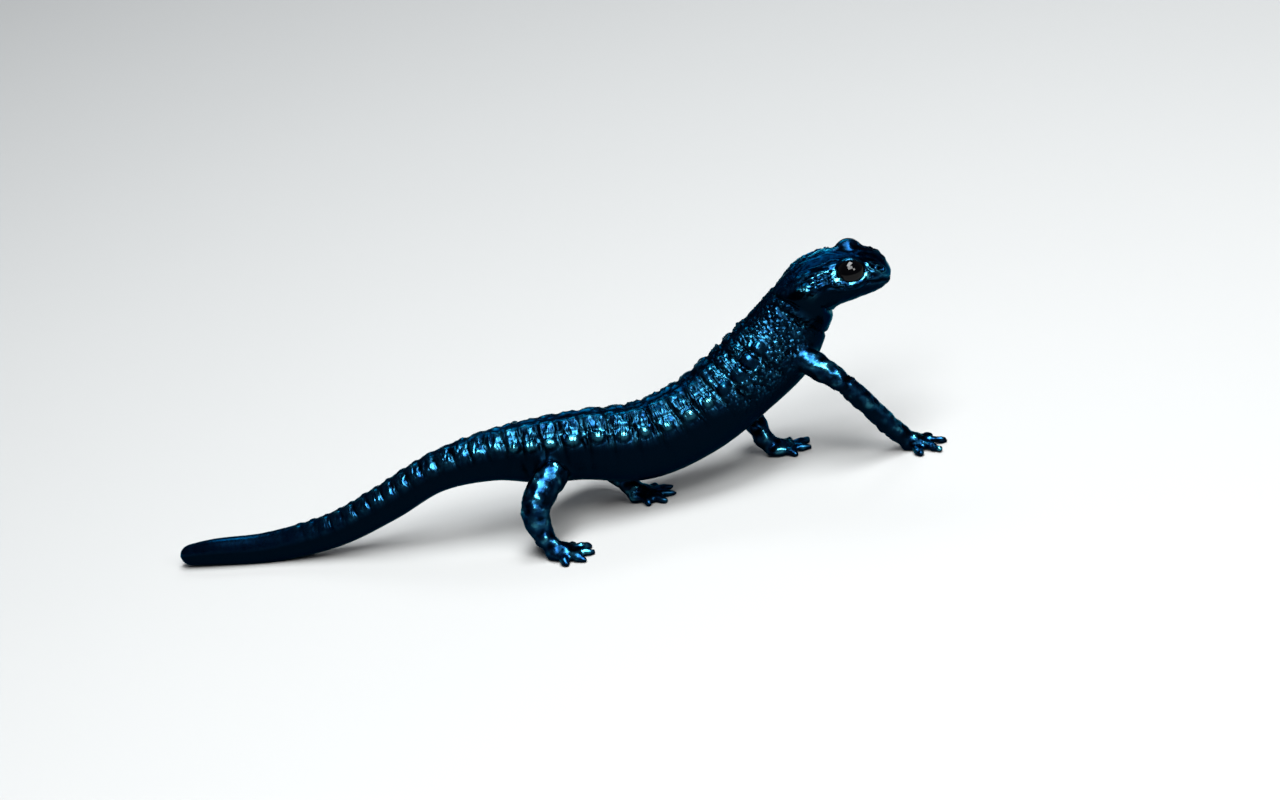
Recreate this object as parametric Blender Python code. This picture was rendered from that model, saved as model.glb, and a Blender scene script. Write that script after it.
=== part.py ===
# Alpine salamander at life size, walking with its head raised.
# +X is the way it faces, +Y its left side, +Z up. Soles and tail rest at z = 0.
# Sizes are in millimetres and degrees; each mesh is scaled to metres once, at its end.
import math

import bmesh
import bpy
from mathutils import Matrix, Vector

MM = 0.001
GAP = 0.3                # free space between neighbouring sub-parts
SECTION_POWER = 2.25     # 2 is an ellipse, more is squarer

# Centreline stations: place, x, y, z, half width, height above it, depth below it.
STATIONS = (
    ("lip", 58.4, 3.2, 25.95, 3.1, 2.7, 1.9),
    ("nostril", 56.6, 3.4, 26.55, 3.5, 2.8, 2.3),
    ("cheek", 54.8, 3.6, 27.1, 4.1, 3.2, 3.0),
    ("eye", 52.9, 3.8, 27.4, 4.65, 3.3, 3.6),
    ("jaw", 50.0, 4.0, 27.65, 5.3, 3.15, 4.0),
    ("gland", 47.4, 4.2, 26.95, 5.1, 3.4, 4.4),
    ("nape", 45.1, 4.35, 25.3, 4.6, 4.1, 5.5),
    ("neck", 42.6, 4.35, 23.1, 4.6, 4.5, 6.5),
    ("shoulder", 38.8, 4.00, 19.3, 5.4, 5.3, 7.3),
    ("chest", 33.0, 3.00, 15.3, 6.0, 5.6, 6.6),
    ("belly", 25.1, 1.50, 11.6, 6.4, 5.6, 6.2),
    ("loin", 16.5, 0.50, 10.1, 6.0, 5.6, 6.1),
    ("flank", 8.0, 0.00, 11.8, 5.2, 5.0, 5.5),
    ("hip", 1.0, 0.40, 12.4, 4.7, 4.6, 5.1),
    ("vent", -6.0, 1.20, 12.8, 3.9, 3.75, 3.9),
    ("tail_base", -14.7, 2.60, 11.4, 3.2, 3.05, 2.95),
    ("tail_fall", -23.2, 4.20, 7.6, 2.8, 2.95, 2.85),
    ("tail_touch", -32.0, 6.40, 4.1, 2.5, 2.7, 2.6),
    ("tail_flat", -43.0, 10.0, 2.1, 2.05, 2.35, 2.4),
    ("tail_end", -51.5, 12.8, 2.1, 1.7, 2.05, 2.05),
    ("tip", -57.0, 14.8, 1.8, 1.35, 1.4, 1.6),
)
HEAD_ROLL = 9.0          # degrees that the head leans to its right
ROLL_SPAN = (11.0, 21.0)  # distances over which the neck takes up that lean
AXIS_STEP = 1.8          # half the length over which a section's direction is taken
SNOUT_ROUND = 3.0        # length of the rounded snout
TIP_ROUND = 1.7          # length of the rounded tail tip

# Distances from the lip along the centreline where one sub-part ends and the next starts.
HEAD_END = 13.9
NECK_END = 19.0
CHEST_END = 33.0
BELLY_END = 50.0
PELVIS_END = 68.0
TAIL_ENDS = (81.5, 95.5, 109.5)

# Raised forms of the skin: each bump or groove is a smooth swelling of the section.
WART_FIRST = 24.2
WART_COUNT = 14
WART_PITCH = 2.55        # near the hips and the neck
WART_PITCH_MID = 1.28    # more than that at mid trunk
WART_ANGLE = 58.0        # down from the middle of the back
WART_SIZE = 1.05
WART_HEIGHT = 0.5
FRONT_WARTS = (1.1, 1.35, 1.2, 1.1)     # the first warts are larger by these factors
GROOVE_SIZE = 0.62
GROOVE_DEPTH = 0.36
GROOVE_SPAN = (20.0, 96.0)
TAIL_PITCH = 2.5
TAIL_RINGS = 15
TAIL_GROOVE_DEPTH = 0.24
TAIL_WART_ANGLE = 54.0
TAIL_WART_HEIGHT = 0.26
# Head swellings: distance, angle, length, width and height.
HEAD_SWELLS = (
    ("gland", 11.6, 56.0, 2.7, 1.5, 0.60),
    ("jaw_muscle", 10.0, 100.0, 2.3, 1.8, 0.30),
    ("orbit", 6.1, 58.0, 3.1, 2.5, 0.70),
    ("canthus", 3.0, 48.0, 1.9, 0.7, 0.20),
    ("collar", 14.6, 115.0, 1.5, 3.6, 0.35),
)
# Folds behind the jaw and round the neck: distance, first angle, size and depth.
FOLDS = (
    (12.5, 112.0, 0.6, 0.55),
    (17.0, 48.0, 0.55, 0.42),
)
MOUTH_ANGLE = 77.0
MOUTH_END = 9.4
MOUTH_DEPTH = 0.34
MOUTH_SIZE = 0.26
LIP_RISE = 0.14

EYE_AT = 6.1
EYE_ANGLE = 55.0
EYE_RADIUS = 2.2
EYE_REACH = 3.35         # from the centreline to the middle of the ball
EYE_BACK = 0.3           # depth of the ball behind its middle
LID_THICK = 0.3
LID_WIDE = 2.1           # half length and half height of the opening between the lids
LID_TALL = 1.75
NOSTRIL_AT = 1.8
NOSTRIL_ANGLE = 38.0
NOSTRIL_RADIUS = 0.38

# Legs: root, elbow or knee, wrist or ankle and palm, as (x, y, z, radius), then toes as
# (heading, length). A heading of 0 points forward and grows towards the left side.
LEGS = (
    ("foreleg_right", "forefoot_right",
     ((42.3, 0.4, 17.8, 2.2), (48.0, -3.3, 13.0, 1.65), (54.2, -2.8, 3.3, 1.55), (56.3, -2.6, 0.9, 1.2)),
     ((30.0, 3.9), (-10.0, 5.3), (-46.0, 5.4), (-82.0, 4.2))),
    ("foreleg_left", "forefoot_left",
     ((38.2, 7.4, 16.2, 2.2), (34.0, 10.4, 9.0, 1.8), (34.5, 6.9, 3.2, 1.55), (36.5, 6.0, 0.9, 1.2)),
     ((-46.0, 3.9), (-14.0, 5.3), (18.0, 5.4), (54.0, 4.2))),
    ("hindleg_right", "hindfoot_right",
     ((3.2, -4.3, 10.9, 2.5), (-1.1, -8.8, 7.3, 2.3), (-0.9, -10.9, 3.2, 1.6), (0.9, -12.3, 0.9, 1.25)),
     ((42.0, 3.6), (10.0, 5.0), (-18.0, 5.6), (-46.0, 5.2), (-80.0, 3.9))),
    ("hindleg_left", "hindfoot_left",
     ((3.2, 4.0, 11.0, 2.6), (8.8, 7.4, 6.8, 2.3), (12.6, 2.7, 3.0, 1.6), (14.5, 1.1, 0.9, 1.25)),
     ((-72.0, 3.6), (-44.0, 5.0), (-16.0, 5.6), (12.0, 5.2), (46.0, 3.9))),
)
PALM_LENGTH = 2.2
PALM_WIDTH = 1.9
PALM_THICK = 1.15
TOE_RADIUS = 0.72
TOE_TIP = 0.48
TOE_ARCH = 0.35          # how far a toe's knuckle rises

RING_HEAD = 40
RING_BODY = 36
RING_TAIL = 20
RING_LEG = 14
RING_TOE = 8
RING_LID = 20

SKIN = (0.006, 0.022, 0.042, 1.0)
SKIN_ROUGHNESS = 0.22
EYE_BLACK = (0.003, 0.003, 0.004, 1.0)
EYE_ROUGHNESS = 0.04


# Centreline and section

def through(values, knots, at):
    """Smooth value at a distance, through values set at rising knots."""
    last = len(knots) - 2
    i = 0
    while i < last and knots[i + 1] < at:
        i += 1
    gap = knots[i + 1] - knots[i]
    t = (at - knots[i]) / gap
    before = max(i - 1, 0)
    after = min(i + 2, last + 1)
    slope_a = (values[i + 1] - values[before]) / (knots[i + 1] - knots[before])
    slope_b = (values[after] - values[i]) / (knots[after] - knots[i])
    return (values[i] * (2 * t ** 3 - 3 * t ** 2 + 1) + values[i + 1] * (3 * t ** 2 - 2 * t ** 3)
            + slope_a * gap * (t ** 3 - 2 * t ** 2 + t) + slope_b * gap * (t ** 3 - t ** 2))


def running_lengths(points):
    lengths = [0.0]
    for a, b in zip(points, points[1:]):
        lengths.append(lengths[-1] + (b - a).length)
    return lengths


PLACES = [Vector(row[1:4]) for row in STATIONS]
KNOTS = running_lengths(PLACES)
BODY_LENGTH = KNOTS[-1]


def column(index, at):
    return through([row[index] for row in STATIONS], KNOTS, at)


def centre(at):
    return Vector((column(1, at), column(2, at), column(3, at)))


def axes(at):
    """Left, up and tailward directions of the section at a distance from the lip."""
    ahead = centre(max(at - AXIS_STEP, 0.0))
    tailward = (centre(min(at + AXIS_STEP, BODY_LENGTH)) - ahead).normalized()
    level = Vector((0, 0, 1)).cross(-tailward).normalized()
    upright = (-tailward).cross(level).normalized()
    share = min(1.0, max(0.0, (ROLL_SPAN[1] - at) / (ROLL_SPAN[1] - ROLL_SPAN[0])))
    turn = math.radians(HEAD_ROLL) * share * share * (3.0 - 2.0 * share)
    left = level * math.cos(turn) + upright * math.sin(turn)
    return left, (-tailward).cross(left), tailward


def swell(distance, size):
    return math.exp(-(distance / size) ** 2)


def within(value, low, high, soft):
    """About 1 between low and high, falling smoothly to 0 outside."""
    return 1.0 / (1.0 + math.exp((low - value) / soft)) / (1.0 + math.exp((value - high) / soft))


def wart_places():
    places = [WART_FIRST]
    for i in range(WART_COUNT - 1):
        share = (i + 0.5) / (WART_COUNT - 1)
        places.append(places[-1] + WART_PITCH + WART_PITCH_MID * math.sin(math.pi * share) ** 1.5)
    return places


WARTS = wart_places()
GROOVES = [(a + b) / 2 for a, b in zip(WARTS, WARTS[1:])]
TAIL_WARTS = [WARTS[-1] + TAIL_PITCH * (i + 1) for i in range(TAIL_RINGS)]
TAIL_GROOVES = [place - TAIL_PITCH / 2 for place in TAIL_WARTS]


def relief(at, angle, radius):
    """Height of the skin's forms; the angle runs from the back, 0, to the belly, 180."""
    def aside(from_angle):
        return math.radians(angle - from_angle) * radius

    rise = 0.0
    for i, place in enumerate(WARTS):
        size = WART_SIZE * (FRONT_WARTS[i] if i < len(FRONT_WARTS) else 1.0)
        rise += WART_HEIGHT * swell(at - place, size) * swell(aside(WART_ANGLE), size)
    for place in GROOVES:
        rise -= GROOVE_DEPTH * swell(at - place, GROOVE_SIZE) * within(angle, *GROOVE_SPAN, 9.0)
    for i, place in enumerate(TAIL_WARTS):
        fade = 1.0 - 0.8 * i / TAIL_RINGS
        rise += fade * TAIL_WART_HEIGHT * swell(at - place, 0.9) * swell(aside(TAIL_WART_ANGLE), 0.9)
        rise -= (fade * TAIL_GROOVE_DEPTH * swell(at - TAIL_GROOVES[i], 0.5)
                 * within(angle, 15.0, 135.0, 9.0))
    for name, place, from_angle, length, width, height in HEAD_SWELLS:
        rise += height * swell(at - place, length) * swell(aside(from_angle), width)
    for place, first_angle, size, depth in FOLDS:
        rise -= depth * swell(at - place, size) * within(angle, first_angle, 400.0, 8.0)
    mouth = within(at, 0.9, MOUTH_END, 0.3)
    rise -= mouth * MOUTH_DEPTH * swell(aside(MOUTH_ANGLE), MOUTH_SIZE)
    rise += mouth * LIP_RISE * swell(abs(aside(MOUTH_ANGLE)) - 0.75, 0.4)
    return rise


def end_rounding(at):
    """Share of the full section left at a distance, where the snout and the tail tip close."""
    share = 1.0
    if at < SNOUT_ROUND:
        share = math.sqrt(max(0.0, 1.0 - (1.0 - at / SNOUT_ROUND) ** 2))
    left_over = BODY_LENGTH - at
    if left_over < TIP_ROUND:
        share = math.sqrt(max(0.0, 1.0 - (1.0 - left_over / TIP_ROUND) ** 2))
    return share


def skin_point(at, angle, grow=0.0, frame_at=None, shift=0.0):
    """Point of the skin; an angle over 180 is on the right side."""
    left, up, tailward = axes(at if frame_at is None else frame_at)
    turn = math.radians(angle)
    power = 2.0 / SECTION_POWER
    aside = math.copysign(abs(math.sin(turn)) ** power, math.sin(turn)) * column(4, at)
    tall = column(5, at) if math.cos(turn) > 0 else column(6, at)
    rise = math.copysign(abs(math.cos(turn)) ** power, math.cos(turn)) * tall
    radius = math.hypot(aside, rise)
    share = end_rounding(at)
    folded = angle if angle <= 180.0 else 360.0 - angle
    longer = share + (relief(at, folded, radius) * min(1.0, share * 1.5) + grow) / radius
    middle = centre(at if frame_at is None else frame_at) + tailward * shift
    point = middle + (left * aside + up * rise) * longer
    point.z = max(point.z, -grow)
    return point


def ring(at, count, grow=0.0, frame_at=None, shift=0.0):
    return [skin_point(at, 360.0 * i / count, grow, frame_at, shift) for i in range(count)]


# Meshes

def material(name, colour, roughness):
    made = bpy.data.materials.new(name)
    made.use_nodes = True
    shader = made.node_tree.nodes["Principled BSDF"]
    shader.inputs["Base Color"].default_value = colour
    shader.inputs["Roughness"].default_value = roughness
    shader.inputs["Metallic"].default_value = 0.0
    return made


def add_object(name, bm):
    """Object in millimetres, with its faces pointing out."""
    bmesh.ops.recalc_face_normals(bm, faces=bm.faces)
    mesh = bpy.data.meshes.new(name)
    bm.to_mesh(mesh)
    bm.free()
    made = bpy.data.objects.new(name, mesh)
    bpy.context.scene.collection.objects.link(made)
    return made


def loft(name, rings, first_point=None, last_point=None):
    """Closed skin over rings of equal count; each end is a fan to its middle or to a point."""
    bm = bmesh.new()
    rows = [[bm.verts.new(p) for p in points] for points in rings]
    count = len(rows[0])
    for row, following in zip(rows, rows[1:]):
        for i in range(count):
            j = (i + 1) % count
            bm.faces.new((row[i], row[j], following[j], following[i]))
    for row, point in ((rows[0], first_point), (rows[-1], last_point)):
        if point is None:
            point = sum((v.co for v in row), Vector()) / count
        tip = bm.verts.new(point)
        for i in range(count):
            bm.faces.new((row[i], row[(i + 1) % count], tip))
    return add_object(name, bm)


def ball(name, middle, radius, rings=12, segments=18):
    bm = bmesh.new()
    bmesh.ops.create_uvsphere(bm, u_segments=segments, v_segments=rings, radius=radius)
    bmesh.ops.translate(bm, vec=middle, verts=bm.verts)
    return add_object(name, bm)


def largest_shell(made):
    """Keeps only the largest closed surface of a mesh."""
    bm = bmesh.new()
    bm.from_mesh(made.data)
    left = set(bm.verts)
    shells = []
    while left:
        shell = set()
        edge = [left.pop()]
        while edge:
            vert = edge.pop()
            shell.add(vert)
            for link in vert.link_edges:
                other = link.other_vert(vert)
                if other in left:
                    left.discard(other)
                    edge.append(other)
        shells.append(shell)
    shells.sort(key=len)
    for shell in shells[:-1]:
        bmesh.ops.delete(bm, geom=list(shell), context="VERTS")
    bmesh.ops.remove_doubles(bm, verts=bm.verts, dist=0.003)
    bmesh.ops.dissolve_degenerate(bm, edges=bm.edges, dist=0.003)
    bmesh.ops.triangulate(bm, faces=bm.faces)
    bm.to_mesh(made.data)
    bm.free()


def boolean(made, others, operation):
    """Joins or cuts an object with a group of closed ones, and removes those."""
    group = bpy.data.collections.new("group")
    bpy.context.scene.collection.children.link(group)
    for other in others:
        group.objects.link(other)
    change = made.modifiers.new(operation.lower(), "BOOLEAN")
    change.operation = operation
    change.operand_type = "COLLECTION"
    change.collection = group
    change.solver = "EXACT"
    depsgraph = bpy.context.evaluated_depsgraph_get()
    mesh = bpy.data.meshes.new_from_object(made.evaluated_get(depsgraph))
    made.modifiers.clear()
    made.data = mesh
    for other in others:
        bpy.data.objects.remove(other, do_unlink=True)
    bpy.data.collections.remove(group)
    largest_shell(made)


def floor_block():
    """Block below z = 0 that trims the soles flat."""
    bm = bmesh.new()
    bmesh.ops.create_cube(bm, size=1.0)
    bmesh.ops.scale(bm, vec=(200.0, 80.0, 10.0), verts=bm.verts)
    bmesh.ops.translate(bm, vec=(0.0, 0.0, -5.0), verts=bm.verts)
    return add_object("floor_block", bm)


def finish(made, colour, roughness):
    made.data.materials.clear()
    made.data.materials.append(material(made.name, colour, roughness))
    made.data.transform(Matrix.Scale(MM, 4))
    made.data.shade_smooth()
    made.data.set_sharp_from_angle(angle=math.radians(50.0))


# Body

def spaced(start, end, step):
    """Distances between start and end, both left out."""
    count = max(1, round((end - start) / step))
    return [start + (end - start) * i / count for i in range(1, count)]


def marked(start, end, marks, step):
    """Distances that hit every mark between start and end, with free stretches filled."""
    inside = sorted(m for m in marks if start + step * 0.4 < m < end - step * 0.4)
    stops = [start] + inside + [end]
    found = []
    for a, b in zip(stops, stops[1:]):
        found += spaced(a, b, step)
        found.append(b)
    return found[:-1]


def body_piece(name, start, end, distances, count):
    """Length of the body between two flat cuts, or to the snout or the tail's tip."""
    first = None
    last = None
    rings = [ring(at, count) for at in distances]
    if start > 0.0:
        rings.insert(0, ring(start, count, frame_at=start, shift=GAP / 2))
    else:
        first = centre(0.0)
    if end < BODY_LENGTH:
        rings.append(ring(end, count, frame_at=end, shift=-GAP / 2))
    else:
        last = centre(BODY_LENGTH)
        last.z = max(last.z, 0.9)
    return loft(name, rings, first, last)


def capped(full, closing, steps):
    """Distances that crowd towards a rounded end of the given length."""
    return [full * (1.0 - math.cos(math.pi / 2 * (i + 0.6) / steps)) if closing else 0.0
            for i in range(steps)]


def eye_axis(side):
    left, up, tailward = axes(EYE_AT)
    turn = math.radians(EYE_ANGLE)
    outward = left * math.sin(turn) * side + up * math.cos(turn)
    return centre(EYE_AT) + outward * EYE_REACH, outward, tailward


def eyeball(name, side, grow):
    """Outer part of a ball, flat at its back inside the head."""
    middle, outward, tailward = eye_axis(side)
    bm = bmesh.new()
    bmesh.ops.create_uvsphere(bm, u_segments=18, v_segments=12, radius=EYE_RADIUS + grow)
    turn = Vector((0, 0, 1)).rotation_difference(outward).to_matrix().to_4x4()
    bm.transform(Matrix.Translation(middle) @ turn)
    cut = bmesh.ops.bisect_plane(
        bm, geom=bm.verts[:] + bm.edges[:] + bm.faces[:],
        plane_co=middle - outward * (EYE_BACK + grow), plane_no=outward, clear_inner=True)
    rim = [item for item in cut["geom_cut"] if isinstance(item, bmesh.types.BMEdge)]
    bmesh.ops.edgeloop_fill(bm, edges=rim)
    return add_object(name, bm)


def lid_dome(name, side):
    """Ball of skin over the eye; the opening and the socket are cut from it."""
    middle, outward, tailward = eye_axis(side)
    return ball(name, middle, EYE_RADIUS + GAP + LID_THICK)


def lid_opening(name, side):
    """Oval plug that opens the lids along the eye's axis."""
    middle, outward, tailward = eye_axis(side)
    back = (tailward - outward * tailward.dot(outward)).normalized()
    above = outward.cross(back).normalized()
    rings = []
    for reach, grow in ((0.6, 0.78), (1.6, 0.95), (EYE_RADIUS + 2.0, 1.3)):
        rings.append([middle + outward * reach
                      + back * (LID_WIDE * grow * math.cos(math.tau * i / RING_LID))
                      + above * (LID_TALL * grow * math.sin(math.tau * i / RING_LID))
                      for i in range(RING_LID)])
    return loft(name, rings)


def make_head():
    snout = capped(SNOUT_ROUND, True, 6)
    distances = snout + spaced(SNOUT_ROUND - 0.3, HEAD_END, 0.56)
    head = body_piece("head", 0.0, HEAD_END, distances, RING_HEAD)
    for side in (1, -1):
        boolean(head, [lid_dome("lids", side)], "UNION")
        boolean(head, [lid_opening("opening", side)], "DIFFERENCE")
    cutters = [eyeball("socket", side, GAP) for side in (1, -1)]
    for side in (1, -1):
        angle = NOSTRIL_ANGLE if side > 0 else 360.0 - NOSTRIL_ANGLE
        cutters.append(ball("nostril", skin_point(NOSTRIL_AT, angle), NOSTRIL_RADIUS, 6, 8))
    boolean(head, cutters, "DIFFERENCE")
    finish(head, SKIN, SKIN_ROUGHNESS)
    for name, side in (("eye_left", 1), ("eye_right", -1)):
        finish(eyeball(name, side, 0.0), EYE_BLACK, EYE_ROUGHNESS)


def make_trunk():
    marks = WARTS + GROOVES + [fold[0] for fold in FOLDS]
    spans = (
        ("neck", HEAD_END, NECK_END),
        ("chest", NECK_END, CHEST_END),
        ("belly", CHEST_END, BELLY_END),
        ("pelvis", BELLY_END, PELVIS_END),
    )
    for name, start, end in spans:
        made = body_piece(name, start, end, marked(start, end, marks, 0.85), RING_BODY)
        finish(made, SKIN, SKIN_ROUGHNESS)


def make_tail():
    marks = WARTS + TAIL_WARTS + TAIL_GROOVES
    starts = (PELVIS_END,) + TAIL_ENDS
    ends = TAIL_ENDS + (BODY_LENGTH,)
    for i, (start, end) in enumerate(zip(starts, ends)):
        if end < BODY_LENGTH:
            distances = marked(start, end, marks, 0.62 if i < 2 else 1.0)
        else:
            distances = spaced(start, end - TIP_ROUND, 1.2) + [end - TIP_ROUND]
            distances += [end - closing for closing in reversed(capped(TIP_ROUND, True, 4))]
        made = body_piece("tail_%d" % (i + 1), start, end, distances, RING_TAIL)
        finish(made, SKIN, SKIN_ROUGHNESS)


# Legs

def leg_curve(points):
    """Place, direction and radius along a leg, as a function of its own length."""
    places = [Vector(p[:3]) for p in points]
    knots = running_lengths(places)

    def place(at):
        return Vector([through([p[i] for p in points], knots, at) for i in range(3)])

    def along(at):
        step = 0.3
        return (place(min(at + step, knots[-1])) - place(max(at - step, 0.0))).normalized()

    def radius(at):
        return through([p[3] for p in points], knots, at)

    return place, along, radius, knots


def leg_ring(place, along, radius, at, frame_at=None, shift=0.0, count=RING_LEG):
    reference = at if frame_at is None else frame_at
    direction = along(reference)
    aside = direction.cross(Vector((1, 0, 0.15))).normalized()
    ahead = aside.cross(direction)
    middle = place(reference) + direction * shift
    size = radius(at)
    return [middle + (aside * math.cos(math.tau * i / count)
                      + ahead * math.sin(math.tau * i / count)) * size for i in range(count)]


def body_keepout(start, end):
    """Body between two distances, grown by the gap, that trims what grows out of it."""
    rings = [ring(at, 32, grow=GAP) for at in [start] + spaced(start, end, 0.9) + [end]]
    return loft("keepout", rings)


def make_leg(name, foot_name, points, toes):
    place, along, radius, knots = leg_curve(points)
    for part, start, end in (("upper", 0.0, knots[1]), ("lower", knots[1], knots[2])):
        rings = [leg_ring(place, along, radius, at) for at in spaced(start, end, 1.3)]
        if start > 0.0:
            rings.insert(0, leg_ring(place, along, radius, start, start, GAP / 2))
        else:
            rings.insert(0, leg_ring(place, along, radius, start))
        rings.append(leg_ring(place, along, radius, end, end, -GAP / 2))
        made = loft("%s_%s" % (name, part), rings)
        boolean(made, [body_keepout(NECK_END - 3.0, PELVIS_END + 3.0)], "DIFFERENCE")
        finish(made, SKIN, SKIN_ROUGHNESS)
    make_foot(foot_name, (place, along, radius, knots), points[3], toes)


def toe(name, palm, heading, length):
    """Tapered toe that rises to a knuckle and comes down to a blunt tip."""
    turn = math.radians(heading)
    forward = Vector((math.cos(turn), math.sin(turn), 0.0))
    across = Vector((-math.sin(turn), math.cos(turn), 0.0))
    rings = []
    steps = 6
    for i in range(steps):
        share = i / (steps - 1)
        size = TOE_RADIUS + (TOE_TIP - TOE_RADIUS) * share
        if i == steps - 1:
            size *= 0.72
        height = size * 0.86 + TOE_ARCH * math.sin(math.pi * min(1.0, share * 1.25)) * (1 - share)
        middle = Vector((palm[0], palm[1], height)) + forward * (0.5 + (length - 0.5) * share)
        rings.append([middle + (across * math.cos(math.tau * j / RING_TOE)
                                + Vector((0, 0, 1)) * math.sin(math.tau * j / RING_TOE)) * size
                      for j in range(RING_TOE)])
    tip = Vector((palm[0], palm[1], TOE_TIP * 0.7)) + forward * (length + TOE_TIP * 0.6)
    return loft(name, rings, None, tip)


def make_foot(name, curve, palm, toes):
    place, along, radius, knots = curve
    wrist = knots[2]
    rings = [leg_ring(place, along, radius, wrist, wrist, GAP / 2)]
    rings += [leg_ring(place, along, radius, at) for at in spaced(wrist, knots[3], 0.9)]
    rings.append(leg_ring(place, along, radius, knots[3]))
    foot = loft(name, rings)
    heading = math.radians(sum(t[0] for t in toes) / len(toes))
    bm = bmesh.new()
    bmesh.ops.create_uvsphere(bm, u_segments=12, v_segments=7, radius=1.0)
    bmesh.ops.scale(bm, vec=(PALM_LENGTH, PALM_WIDTH, PALM_THICK), verts=bm.verts)
    bmesh.ops.rotate(bm, matrix=Matrix.Rotation(heading, 3, "Z"), verts=bm.verts)
    bmesh.ops.translate(bm, vec=(palm[0], palm[1], PALM_THICK * 0.8), verts=bm.verts)
    parts = [add_object("palm", bm)]
    parts += [toe("toe", palm, turn, length) for turn, length in toes]
    boolean(foot, parts, "UNION")
    boolean(foot, [floor_block()], "DIFFERENCE")
    finish(foot, SKIN, SKIN_ROUGHNESS)


def stand_on_origin():
    """Moves everything so that the middle of the box, at floor level, is the origin."""
    corners = [v.co for made in bpy.data.objects for v in made.data.vertices]
    low = Vector([min(c[i] for c in corners) for i in range(3)])
    high = Vector([max(c[i] for c in corners) for i in range(3)])
    shift = Vector((-(low.x + high.x) / 2, -(low.y + high.y) / 2, -low.z))
    for made in bpy.data.objects:
        made.data.transform(Matrix.Translation(shift))
    print("moved by", [round(v / MM, 3) for v in shift])


def main():
    for old in list(bpy.data.objects):
        bpy.data.objects.remove(old, do_unlink=True)
    make_head()
    make_trunk()
    make_tail()
    for name, foot_name, points, toes in LEGS:
        make_leg(name, foot_name, points, toes)
    stand_on_origin()


main()
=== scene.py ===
import math

import bmesh
import bpy
import numpy as np
from mathutils import Matrix, Vector, noise
from mathutils.kdtree import KDTree


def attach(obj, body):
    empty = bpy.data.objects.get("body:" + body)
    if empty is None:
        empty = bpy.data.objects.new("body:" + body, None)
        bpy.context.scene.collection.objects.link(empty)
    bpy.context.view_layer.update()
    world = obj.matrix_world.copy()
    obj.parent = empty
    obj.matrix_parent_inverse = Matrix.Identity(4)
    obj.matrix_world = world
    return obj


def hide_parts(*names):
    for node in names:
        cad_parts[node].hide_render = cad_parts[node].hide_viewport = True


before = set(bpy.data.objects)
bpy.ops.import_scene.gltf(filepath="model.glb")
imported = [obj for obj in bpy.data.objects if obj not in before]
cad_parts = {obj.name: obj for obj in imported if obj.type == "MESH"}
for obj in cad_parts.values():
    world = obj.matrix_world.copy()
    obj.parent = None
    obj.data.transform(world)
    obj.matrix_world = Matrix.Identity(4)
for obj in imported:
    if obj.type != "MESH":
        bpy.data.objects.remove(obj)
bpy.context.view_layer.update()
print("frame:", len(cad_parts), "nodes")

mm = 0.001
bodyShift = np.array((-2.368, 0.392, 0.0))     # from the design's axes to the frame's

# the body's centreline and sections
body = {
    "sectionPower": 2.25,
    "snoutRound": 3.0,
    "snoutRings": 9,
    "tipRound": 1.7,
    "tipRings": 7,
    "endRing": 0.12,        # place of the first and last ring, as a share of the rounding
    "sampleStep": 0.1,
    "axisStep": 1.8,        # half the length over which a section's direction is taken
    "headRoll": 9.0,        # degrees that the head leans to its right
    "rollSpan": (11.0, 21.0),
    # x, y, z, half width, height above and depth below the line, from lip to tail tip
    "stations": (
        (58.4, 3.2, 25.95, 3.1, 2.7, 1.9),
        (56.6, 3.4, 26.55, 3.5, 2.8, 2.3),
        (54.8, 3.6, 27.1, 4.1, 3.2, 3.0),
        (52.9, 3.8, 27.4, 4.65, 3.3, 3.6),
        (50.0, 4.0, 27.65, 5.3, 3.15, 4.0),
        (47.4, 4.2, 26.95, 5.1, 3.4, 4.4),
        (45.1, 4.35, 25.3, 4.6, 4.1, 5.5),
        (42.6, 4.35, 23.1, 4.6, 4.5, 6.5),
        (38.8, 4.00, 19.3, 5.4, 5.3, 7.3),
        (33.0, 3.00, 15.3, 6.0, 5.6, 6.6),
        (25.1, 1.50, 11.6, 6.4, 5.6, 6.2),
        (16.5, 0.50, 10.1, 6.0, 5.6, 6.1),
        (8.0, 0.00, 11.8, 5.2, 5.0, 5.5),
        (1.0, 0.40, 12.4, 4.7, 4.6, 5.1),
        (-6.0, 1.20, 12.8, 3.9, 3.75, 3.9),
        (-14.7, 2.60, 11.4, 3.2, 3.05, 2.95),
        (-23.2, 4.20, 7.6, 2.8, 2.95, 2.85),
        (-32.0, 6.40, 4.1, 2.5, 2.7, 2.6),
        (-43.0, 10.0, 2.1, 2.05, 2.35, 2.4),
        (-51.5, 12.8, 2.1, 1.7, 2.05, 2.05),
        (-57.0, 14.8, 1.8, 1.35, 1.4, 1.6),
    ),
    # broad swellings of the head: distance, angle, length, width, height
    "swellings": (
        (11.6, 56.0, 2.7, 1.5, 0.60),
        (10.0, 100.0, 2.3, 1.8, 0.30),
        (6.1, 58.0, 3.1, 2.5, 0.70),
        (3.0, 48.0, 1.9, 0.7, 0.20),
        (14.6, 115.0, 1.5, 3.6, 0.35),
    ),
    "ringCount": 64,
    "ringStep": 0.5,
}


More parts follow.
